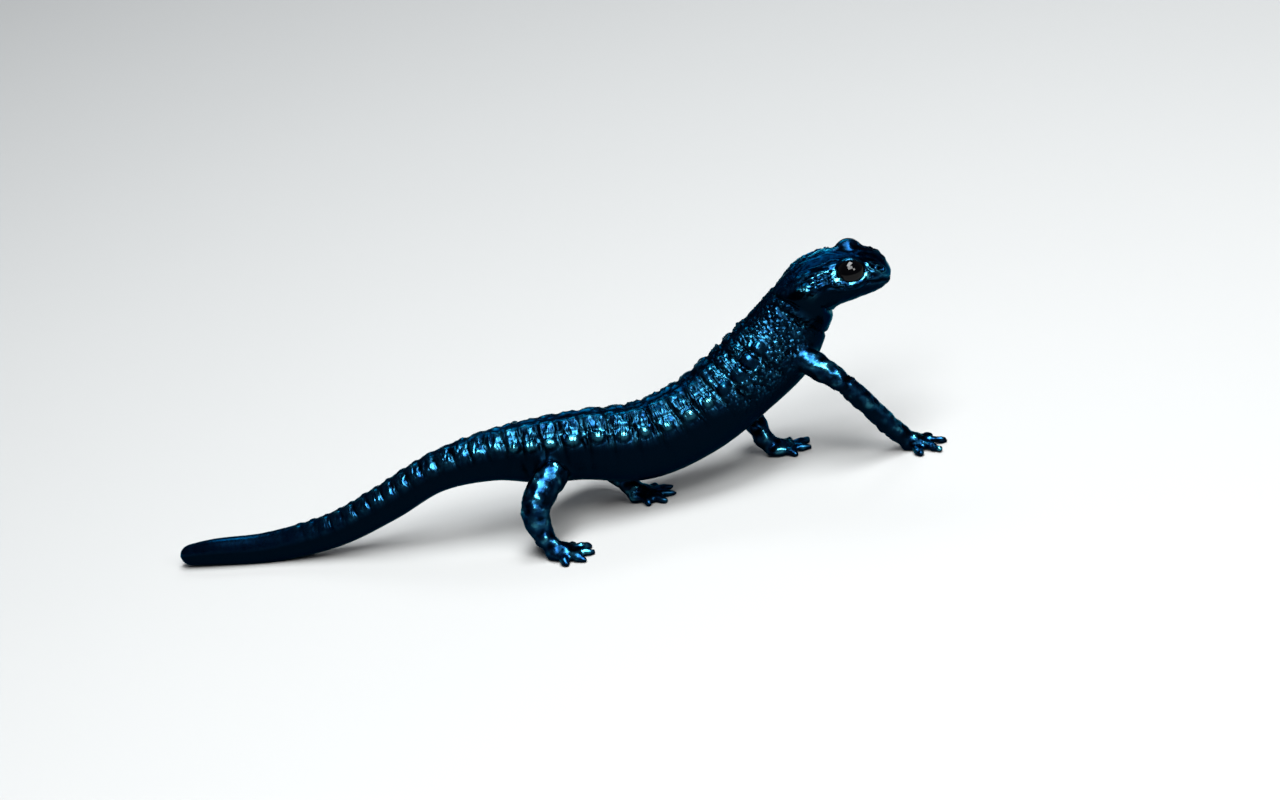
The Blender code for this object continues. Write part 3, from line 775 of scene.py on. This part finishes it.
def reliefHeights(points, spine, zones, onLimb, limbPlace):
    rng = np.random.default_rng(relief["seed"])
    at, side = spine["at"], spine["side"]
    sheet = np.stack((at, roundFrom(spine, 0.0) * side, 40.0 * side), axis=1)
    warts = wartPlaces()
    tailPlaces = warts[-1] + tailRings["pitch"] * (np.arange(tailRings["count"]) + 1)
    wavy = at + relief["waviness"] * noiseAt(sheet, 2.6, 3.1) + 0.012 * (spine["angle"] - 60.0)
    rise = ribGrooves(spine, rng, warts, wavy)
    domed, domes = flankWarts(spine, rng, warts)
    zones["beads"] *= 1.0 - domes
    zones["ribs"] *= 1.0 - 0.7 * domes
    zones["domes"] = domes
    gap = relief["smallWartGap"]
    rise += domed + backWarts(spine, rng, np.concatenate((warts - gap, warts + gap, tailPlaces)))
    rise += ringsOfTail(spine, rng, tailPlaces, wavy)
    rise += fineRelief(spine, zones, sheet)
    rise += jowlAndFolds(spine) + mouthAndNostrils(spine)
    rise += crownAndGlands(points, spine, zones, sheet)
    return rise * (1.0 - onLimb) + legRelief(points, limbPlace) * onLimb


def shapeLids(points):
    # opens the lids over each ball, and rolls their edges
    lids = np.zeros(len(points))
    crescent = np.zeros(len(points))
    ballEdge = eye["radius"] + eye["edge"]
    for side in (1, -1):
        middle, outward, back, above = eyeFrame(side)
        away = points - middle
        x, y, z = away @ back, away @ above, away @ outward
        flat = np.maximum(np.hypot(x, y), 1e-6)
        reach = np.linalg.norm(away, axis=1)
        oval = 1.0 / np.sqrt((x / flat / eye["halfLength"]) ** 2 + (y / flat / eye["halfHeight"]) ** 2)
        gap = flat - oval      # outward from the opening's edge
        near = (z > 0.15) & (reach < eye["radius"] + 1.6) & (gap < 2.0)
        snap = near & (np.abs(gap) < eye["snap"])
        lower = ramp(-y / flat + 0.25 * np.abs(x) / flat, -0.25, 0.6)
        width = eye["upperWidth"] + (eye["lowerWidth"] - eye["upperWidth"]) * lower
        roll = eye["upperRoll"] + (eye["lowerRoll"] - eye["upperRoll"]) * lower
        slope = np.clip(gap / width, 0.0, 1.0)
        target = ballEdge + (roll - eye["edge"]) * slope * (1.3 - 0.3 * slope)
        target = target - eye["crease"] * lower * bell(gap - width - 0.45, 0.25)
        hold = (1.0 - ramp(gap, width, width + eye["blend"])) * ramp(z, 0.15, 0.6)
        squeeze = np.where(snap, oval / flat, 1.0)
        sideways = (np.outer(x, back) + np.outer(y, above)) * squeeze[:, None]
        over = np.sqrt(np.maximum(target ** 2 - flat ** 2, (0.7 * z) ** 2))
        under = np.sqrt(np.maximum((eye["radius"] - eye["socket"]) ** 2 - flat ** 2, 0.04))
        depth = np.where(gap < 0, under, z + (over - z) * hold)
        rim = np.sqrt(ballEdge ** 2 - oval ** 2)
        moved = middle + sideways + np.outer(np.where(snap, rim, depth), outward)
        points = np.where(near[:, None], moved, points)
        lids = np.maximum(lids, np.where(near, 1.0 - ramp(gap, width, width + 0.4), 0.0))
        crescent = np.maximum(crescent, np.where(near, lower * bell(gap - 0.4, 0.50), 0.0))
    return points, lids, crescent


def storeValues(mesh, name, values):
    layer = mesh.attributes.new(name, "FLOAT", "POINT")
    layer.data.foreach_set("value", values.astype(np.float32))


tones = {
    # how much more a height counts towards the brighter blues than it does on the flank; the blues are
    # painted sky reflection, and the low tones in the folds are painted shade
    "head": 1.3,
    "back": 0.8,
    "leg": 1.2,
    "legBase": 0.10,
    "domeMost": 0.12,          # the large warts stay dark
    # the lid and crescent tones put a painted highlight on the lids and on the lower lid under the eye
    "lid": 0.27,
    "crescent": -0.08,         # under the eye, with patches that are lighter and darker
    "crescentPatches": 0.85,
    "crescentBumps": 0.15,
    # angle from the back at which the painted sky blue starts to fade, and over how much it goes
    "blueEnd": 52.0,
    "blueEndShoulder": 38.0,   # more on neck and shoulder
    "blueEndHead": -6.0,
    "blueEndSnout": 16.0,
    "blueFade": 32.0,
    "crownGloss": 0.6,         # share of the smooth finish on top of the head
}


def legShare(spine, off):
    # 1 on the legs and 0 on the body
    share = ramp(spine["out"], 0.25, 1.1) * (1.0 - within(spine["at"], -3.0, 13.0, 0.5))
    share = share * (1.0 - ramp(off, 0.5, 1.3))
    return np.maximum(share, ramp(spine["out"], 2.5, 4.0))


def paintedLightTone(height, zones, onLimb, lids, crescent, broken):
    # painted light: heights give painted shade in the folds and painted blue on what stands up, and the
    # lids and the crescent get a painted highlight
    stronger = 1.0 + tones["head"] * zones["head"] + tones["back"] * zones["top"] + tones["leg"] * onLimb
    tone = height * stronger + tones["legBase"] * onLimb
    tone = np.where(zones["domes"] > 0.5, np.minimum(tone, tones["domeMost"]), tone)
    tone = tone * (1.0 - lids) + tones["lid"] * lids
    return tone + crescent * (tones["crescentPatches"] * broken + tones["crescent"])


def paintedSkyShare(spine, zones, head, upper, lids, crescent, broken):
    # share of painted sky reflection: 1 on the back, 0 low on the flanks and on the collar; faces that
    # the relief turns down get painted shade, and the crescent under the eye a painted highlight
    low = tones["blueEnd"] + tones["blueEndShoulder"] * within(spine["at"], 14.0, 33.0, 1.6)
    low += tones["blueEndHead"] * head + tones["blueEndSnout"] * (1.0 - ramp(spine["at"], 3.0, 6.0))
    share = 1.0 - ramp(spine["angle"], low, low + tones["blueFade"])
    share = share * (1.0 - zones["collar"]) * (0.2 + 0.8 * upper) * (1.0 - 0.3 * lids)
    return np.maximum(share, crescent * np.clip(0.62 + 1.5 * broken, 0.0, 0.95))


def makeSkin():
    mesh = oneSkin(roughForm())
    print("one skin:", len(mesh.polygons), "faces")
    smoothSkin(mesh)
    points = vectorsOf(mesh.vertices, "co")
    spine = bodyCoordinates(points)
    at, angle = spine["at"], spine["angle"]
    zones = skinZones(spine)
    off, limbPlace = limbCoordinates(points)
    onLimb = legShare(spine, off)
    height = reliefHeights(points, spine, zones, onLimb, limbPlace)
    facing = vectorsOf(mesh.vertex_normals, "vector")
    points, lids, crescent = shapeLids(points + facing * height[:, None])
    broken = noiseAt(points, 0.9, 2.2)
    tone = paintedLightTone(height, zones, onLimb, lids, crescent, broken)
    bumps = tones["crescentBumps"] * crescent * noiseAt(points, 0.5, 3.3)
    points += facing * bumps[:, None]
    points[:, 2] = np.maximum(points[:, 2], 0.0)
    setPositions(mesh, (points + bodyShift) * mm)

    # where the painted sky blue goes, with painted shade on faces that the relief turns down, and where
    # the skin is beaded, ribbed or smooth
    onBody = 1.0 - onLimb
    head = 1.0 - ramp(at, 11.0, 14.0)
    turned = vectorsOf(mesh.vertex_normals, "vector")
    # painted shade: faces that the relief tilts downward keep only a fifth of the painted blue
    upper = ramp(turned[:, 2] - facing[:, 2], -0.24, 0.04)
    back = paintedSkyShare(spine, zones, head, upper, lids, crescent, broken)
    # on the legs the painted sky blue goes on the faces that turn upward
    back = back * onBody + ramp(facing[:, 2], -0.25, 0.65) * onLimb
    crown = tones["crownGloss"] * head * (1.0 - ramp(angle, 40.0, 60.0))
    smooth = np.maximum(np.maximum(zones["collar"], crown), lids * (1.0 - 0.7 * crescent))
    beads = zones["beads"] * (0.65 + 0.35 * ramp(angle, 60.0, 90.0))
    ribs = zones["ribs"] * (1.0 - 0.6 * ramp(at, 70.0, 105.0))
    # relief carries the painted tone, back the painted sky blue
    storeValues(mesh, "relief", np.clip(0.5 + tone, 0.0, 1.0))
    storeValues(mesh, "back", np.clip(back, 0.0, 1.0))
    storeValues(mesh, "beads", beads * onBody)
    storeValues(mesh, "ribs", ribs * onBody)
    storeValues(mesh, "smooth", smooth * onBody)
    sheet = mesh.attributes.new("sheet", "FLOAT_VECTOR", "POINT")
    around = roundFrom(spine, 0.0) * spine["side"]
    sheet.data.foreach_set("vector", np.stack((at, around, around * 0), axis=1).ravel())
    mesh.name = "skin"
    mesh.shade_smooth()
    print("skin relief:", len(mesh.vertices), "points")
    return newObject("skin", mesh)


def makeEye(name, side):
    middle, outward = eyeFrame(side)[:2]
    bm = bmesh.new()
    bmesh.ops.create_uvsphere(bm, u_segments=eye["segments"], v_segments=eye["rings"],
                              radius=eye["radius"])
    turn = Vector((0, 0, 1)).rotation_difference(Vector(outward)).to_matrix()
    bmesh.ops.rotate(bm, matrix=turn, verts=bm.verts)
    offAxis = [vert.co.normalized().dot(Vector(outward)) for vert in bm.verts]
    bmesh.ops.translate(bm, vec=Vector(middle + bodyShift), verts=bm.verts)
    bmesh.ops.scale(bm, vec=(mm, mm, mm), verts=bm.verts)
    bmesh.ops.recalc_face_normals(bm, faces=bm.faces)
    mesh = meshFrom(bm, name)
    storeValues(mesh, "iris", np.degrees(np.arccos(np.clip(offAxis, -1, 1))) / 90.0)
    mesh.shade_smooth()
    return newObject(name, mesh)


# Materials

def newMaterial(name):
    made = bpy.data.materials.new(name)
    made.use_nodes = True
    tree = made.node_tree
    return made, tree, tree.nodes["Principled BSDF"]


def feed(tree, socket, value):
    # a plain value, or what another node gives out
    if isinstance(value, bpy.types.NodeSocket):
        tree.links.new(value, socket)
    else:
        socket.default_value = value


def node(tree, kind, **values):
    made = tree.nodes.new(kind)
    for key, value in values.items():
        if key in made.inputs.keys():
            feed(tree, made.inputs[key], value)
        else:
            setattr(made, key, value)
    return made


def attributeOf(tree, name, output="Fac"):
    return node(tree, "ShaderNodeAttribute", attribute_name=name).outputs[output]


def objectPlace(tree):
    return node(tree, "ShaderNodeTexCoord").outputs["Object"]


skinLook = {
    # black is the skin's own colour; navy, blue and the edge tint are painted sky reflection, and the
    # brightest colour is a painted highlight on the peaks
    "black": (0.0004, 0.0033, 0.0080, 1.0),
    "navy": (0.0022, 0.0165, 0.052, 1.0),
    "blue": (0.015, 0.098, 0.170, 1.0),
    "paintedHighlight": (0.048, 0.245, 0.315, 1.0),
    "metallic": 1.0,
    "edgeTint": (0.25, 0.51, 0.60, 1.0),
    # between these values of the relief, 0.5 being the plain skin, each colour comes in: out of the
    # painted shade in the folds, into the painted blue, and into the painted highlight on the peaks
    "outOfFolds": (0.30, 0.54),
    "raised": (0.42, 0.80),
    "peaks": (0.76, 1.0),
    "blotchScale": 800.0,
    "blotchRange": (0.32, 0.68),
    # painted highlight on the bead tops and painted shade in the gaps between them
    "beadTops": (0.55, 0.85),
    "beadGaps": (0.35, 0.70),
    "roughness": (0.19, 0.31),         # of the wettest and the driest patches
    "wetScale": 420.0,
    "smoothGloss": 0.06,
    "flankRoughness": 0.18,            # added low on the flanks
    "beadSize": 0.00058,
    "beadDepth": 0.00032,
    "ridgeSize": (1.05, 3.6, 1.0),     # in millimetres along and around the body
    "ridgeWidth": 0.16,
    "ridgeDepth": 0.00015,
    "grainSize": 0.00050,
    "grainDepth": 0.000014,
    "grainOnSmooth": 0.16,             # share of the grains left where the skin is smooth
    "fineSize": 0.00020,
    "fineDepth": 0.000003,
}


def remap(tree, source, low, high, start=0.0, end=1.0, smooth=False):
    # a value between low and high becomes one between start and end
    limits = {"From Min": low, "From Max": high, "To Min": start, "To Max": end}
    steps = "SMOOTHSTEP" if smooth else "LINEAR"
    made = node(tree, "ShaderNodeMapRange", interpolation_type=steps, Value=source, **limits)
    return made.outputs["Result"]


def calculate(tree, operation, first, second):
    made = node(tree, "ShaderNodeMath", operation=operation)
    feed(tree, made.inputs[0], first)
    feed(tree, made.inputs[1], second)
    return made.outputs["Value"]


def times(tree, first, second):
    return calculate(tree, "MULTIPLY", first, second)


def bumped(tree, height, depth, strength, before=None):
    made = node(tree, "ShaderNodeBump", Distance=depth, Height=height, Strength=strength)
    if before is not None:
        tree.links.new(before, made.inputs["Normal"])
    return made.outputs["Normal"]


def mixed(tree, share, first, second):
    # from the first colour, at a share of 0, to the second, at 1
    made = node(tree, "ShaderNodeMix", data_type="RGBA", Factor=share, A=first, B=second)
    return made.outputs["Result"]


def patchesOf(tree, place, scale, **values):
    # soft noise round 0.5
    return node(tree, "ShaderNodeTexNoise", Vector=place, Scale=scale, **values).outputs["Fac"]


def grainsOf(tree, place, size):
    # 1 in the middle of each rounded grain, 0 between the grains
    made = node(tree, "ShaderNodeTexVoronoi", feature="SMOOTH_F1", Vector=place, Scale=1.0 / size)
    return remap(tree, made.outputs["Distance"], 0.0, 0.8, 1.0, 0.0)


def skinMaterial():
    made, tree, shader = newMaterial("wetSkin")
    link = tree.links.new
    place = objectPlace(tree)
    mask = {name: attributeOf(tree, name) for name in ("relief", "back", "beads", "ribs", "smooth")}
    sheet = attributeOf(tree, "sheet", "Vector")
    rough = calculate(tree, "SUBTRACT", 1.0, mask["smooth"])

    # beads on the neck and shoulder, ridges across the ribs, grains everywhere
    beadHeight = grainsOf(tree, place, skinLook["beadSize"])
    scale = [1.0 / size for size in skinLook["ridgeSize"]]
    stretched = node(tree, "ShaderNodeMapping", Vector=sheet, Scale=scale).outputs["Vector"]
    folds = patchesOf(tree, stretched, 1.0, Detail=1.5)
    crest = calculate(tree, "ABSOLUTE", calculate(tree, "SUBTRACT", folds, 0.5), 0.0)
    crest = remap(tree, crest, 0.0, skinLook["ridgeWidth"], 1.0, 0.0, smooth=True)
    grainHeight = grainsOf(tree, place, skinLook["grainSize"])
    grainShare = remap(tree, rough, 0.0, 1.0, skinLook["grainOnSmooth"], 1.0)
    fine = patchesOf(tree, place, 1.0 / skinLook["fineSize"], Detail=2.0)
    normal = bumped(tree, beadHeight, skinLook["beadDepth"], mask["beads"])
    normal = bumped(tree, crest, skinLook["ridgeDepth"], mask["ribs"], normal)
    normal = bumped(tree, grainHeight, skinLook["grainDepth"], grainShare, normal)
    normal = bumped(tree, fine, skinLook["fineDepth"], 1.0, normal)
    link(normal, shader.inputs["Normal"])

    # painted shade: black in the folds, between the beads and under the flanks; painted sky reflection:
    # blue on the back and on what stands up, with a painted highlight on the peaks and the bead tops
    raised = remap(tree, mask["relief"], *skinLook["raised"], smooth=True)
    raised = calculate(tree, "ADD", raised, times(tree, crest, mask["ribs"]))
    blotch = patchesOf(tree, place, skinLook["blotchScale"], Detail=3.0, Roughness=0.6)
    blotch = remap(tree, blotch, *skinLook["blotchRange"])
    # painted highlight on the highest relief
    peaks = remap(tree, mask["relief"], *skinLook["peaks"])
    share = calculate(tree, "ADD", times(tree, raised, blotch), peaks)
    # painted highlight on the bead tops
    beadTop = remap(tree, beadHeight, *skinLook["beadTops"], smooth=True)
    share = calculate(tree, "ADD", share, times(tree, beadTop, mask["beads"]))
    share = calculate(tree, "MINIMUM", times(tree, share, mask["back"]), 1.0)
    # painted shade in the gaps between the beads
    between = remap(tree, beadHeight, *skinLook["beadGaps"], 1.0, 0.0, smooth=True)
    between = calculate(tree, "SUBTRACT", 1.0, times(tree, between, mask["beads"]))
    # painted shade in the folds
    outsidePaintedShade = remap(tree, mask["relief"], *skinLook["outOfFolds"], smooth=True)
    outsidePaintedShade = times(tree, mask["back"], times(tree, outsidePaintedShade, between))
    colour = mixed(tree, outsidePaintedShade, skinLook["black"], skinLook["navy"])
    colour = mixed(tree, share, colour, skinLook["blue"])
    colour = mixed(tree, times(tree, peaks, mask["back"]), colour, skinLook["paintedHighlight"])
    link(colour, shader.inputs["Base Color"])

    # wet film that varies from patch to patch
    wet = patchesOf(tree, place, skinLook["wetScale"], Detail=3.0)
    film = remap(tree, wet, 0.3, 0.7, *skinLook["roughness"])
    gloss = times(tree, mask["smooth"], skinLook["smoothGloss"])
    film = calculate(tree, "SUBTRACT", film, gloss)
    dull = times(tree, calculate(tree, "SUBTRACT", 1.0, mask["back"]), rough)
    dull = times(tree, dull, skinLook["flankRoughness"])
    link(calculate(tree, "ADD", film, dull), shader.inputs["Roughness"])

    shader.inputs["Metallic"].default_value = skinLook["metallic"]
    shader.inputs["Specular Tint"].default_value = skinLook["edgeTint"]
    return made


eyeLook = {
    "pupil": (0.0003, 0.0003, 0.0004, 1.0),
    "iris": (0.0012, 0.0010, 0.0009, 1.0),
    "irisEdge": (0.42, 0.55),          # share of a right angle from the eye's axis
    "streakScale": 4000.0,
    "roughness": 0.02,
    "specular": 0.15,
}


def eyeMaterial():
    made, tree, shader = newMaterial("wetEye")
    ring = remap(tree, attributeOf(tree, "iris"), *eyeLook["irisEdge"], smooth=True)
    streaks = patchesOf(tree, objectPlace(tree), eyeLook["streakScale"], Detail=3.0)
    share = times(tree, ring, streaks)
    tree.links.new(mixed(tree, share, eyeLook["pupil"], eyeLook["iris"]), shader.inputs["Base Color"])
    shader.inputs["Roughness"].default_value = eyeLook["roughness"]
    shader.inputs["Specular IOR Level"].default_value = eyeLook["specular"]
    return made


skin = makeSkin()
skin.data.materials.append(skinMaterial())
fleshNodes = [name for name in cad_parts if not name.startswith("eye_")]
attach(skin, "root")
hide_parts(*fleshNodes)

wetEye = eyeMaterial()
for name, side in (("eyeLeft", 1), ("eyeRight", -1)):
    ball = makeEye(name, side)
    ball.data.materials.append(wetEye)
    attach(ball, "root")
    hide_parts("eye_left" if side > 0 else "eye_right")
print("eyes done")


# Floor, light and camera

studio = {
    "floorColour": (0.215, 0.212, 0.208, 1.0),
    "floorShade": 0.95,        # its faint clouds, against the colour above
    "floorCloudScale": 6.0,
    "floorRoughness": 0.75,
    "floorSize": 3.0,
    "floorDrop": 0.00002,      # below the soles
    "world": (0.60, 0.74, 1.0, 1.0),
    "worldStrength": 0.12,
    "elevation": 24.0,
    "roll": 13.0,
    "lens": 120.0,
    "distance": 0.640,
    "target": (17.6, 0.0, 16.6),
    # name, place in metres, width and depth in metres, brightness of its face, colour
    "lights": (
        ("topLight", (0.06, -0.05, 0.57), (0.42, 0.22), 34.0, (0.94, 0.98, 1.0)),
        ("sideLight", (0.05, -0.315, 0.465), (0.34, 0.21), 24.0, (0.96, 0.99, 1.0)),
        ("frontLight", (0.32, -0.42, 0.34), (0.14, 0.14), 25.0, (1.0, 0.99, 0.97)),
        ("backLight", (0.00, 0.42, 0.40), (0.36, 0.12), 8.0, (0.92, 0.97, 1.0)),
    ),
}


def makeFloor():
    bm = bmesh.new()
    bmesh.ops.create_grid(bm, x_segments=1, y_segments=1, size=studio["floorSize"] / 2)
    bmesh.ops.translate(bm, vec=(0.0, 0.0, -studio["floorDrop"]), verts=bm.verts)
    mesh = meshFrom(bm, "floor")
    made, tree, shader = newMaterial("paleFloor")
    cloud = patchesOf(tree, objectPlace(tree), studio["floorCloudScale"], Detail=4.0)
    shade = tuple(studio["floorShade"] * part for part in studio["floorColour"][:3]) + (1.0,)
    tree.links.new(mixed(tree, cloud, studio["floorColour"], shade), shader.inputs["Base Color"])
    shader.inputs["Roughness"].default_value = studio["floorRoughness"]
    mesh.materials.append(made)
    floor = newObject("floor", mesh)


def makeLights():
    world = bpy.data.worlds.new("softSky")
    world.use_nodes = True
    sky = world.node_tree.nodes["Background"]
    sky.inputs["Color"].default_value = studio["world"]
    sky.inputs["Strength"].default_value = studio["worldStrength"]
    bpy.context.scene.world = world
    for name, place, size, brightness, colour in studio["lights"]:
        lamp = bpy.data.lights.new(name, "AREA")
        lamp.shape = "RECTANGLE"
        lamp.size, lamp.size_y = size
        lamp.energy = brightness * math.pi * size[0] * size[1]
        lamp.color = colour
        holder = newObject(name, lamp)
        holder.location = place
        holder.rotation_mode = "QUATERNION"
        holder.rotation_quaternion = (-Vector(place)).to_track_quat("-Z", "Y")


def makeCamera():
    tilt = math.radians(studio["elevation"])
    roll = math.radians(studio["roll"])
    backward = Vector((0.0, -math.cos(tilt), math.sin(tilt)))
    upright = Vector((0.0, math.sin(tilt), math.cos(tilt)))
    right = Vector((1.0, 0.0, 0.0)) * math.cos(roll) - upright * math.sin(roll)
    upward = Vector((1.0, 0.0, 0.0)) * math.sin(roll) + upright * math.cos(roll)
    lens = bpy.data.cameras.new("camera")
    lens.lens = studio["lens"]
    lens.sensor_width = 36.0
    lens.clip_start = 0.01
    camera = newObject("camera", lens)
    target = Vector(np.array(studio["target"]) + bodyShift) * mm
    camera.rotation_mode = "QUATERNION"
    turn = Matrix((right, upward, backward)).transposed()
    camera.rotation_quaternion = turn.to_quaternion()
    camera.location = target + backward * studio["distance"]
    bpy.context.scene.camera = camera
    bpy.context.scene.view_settings.view_transform = "Standard"


makeFloor()
makeLights()
makeCamera()
print("stage, lights and camera done")
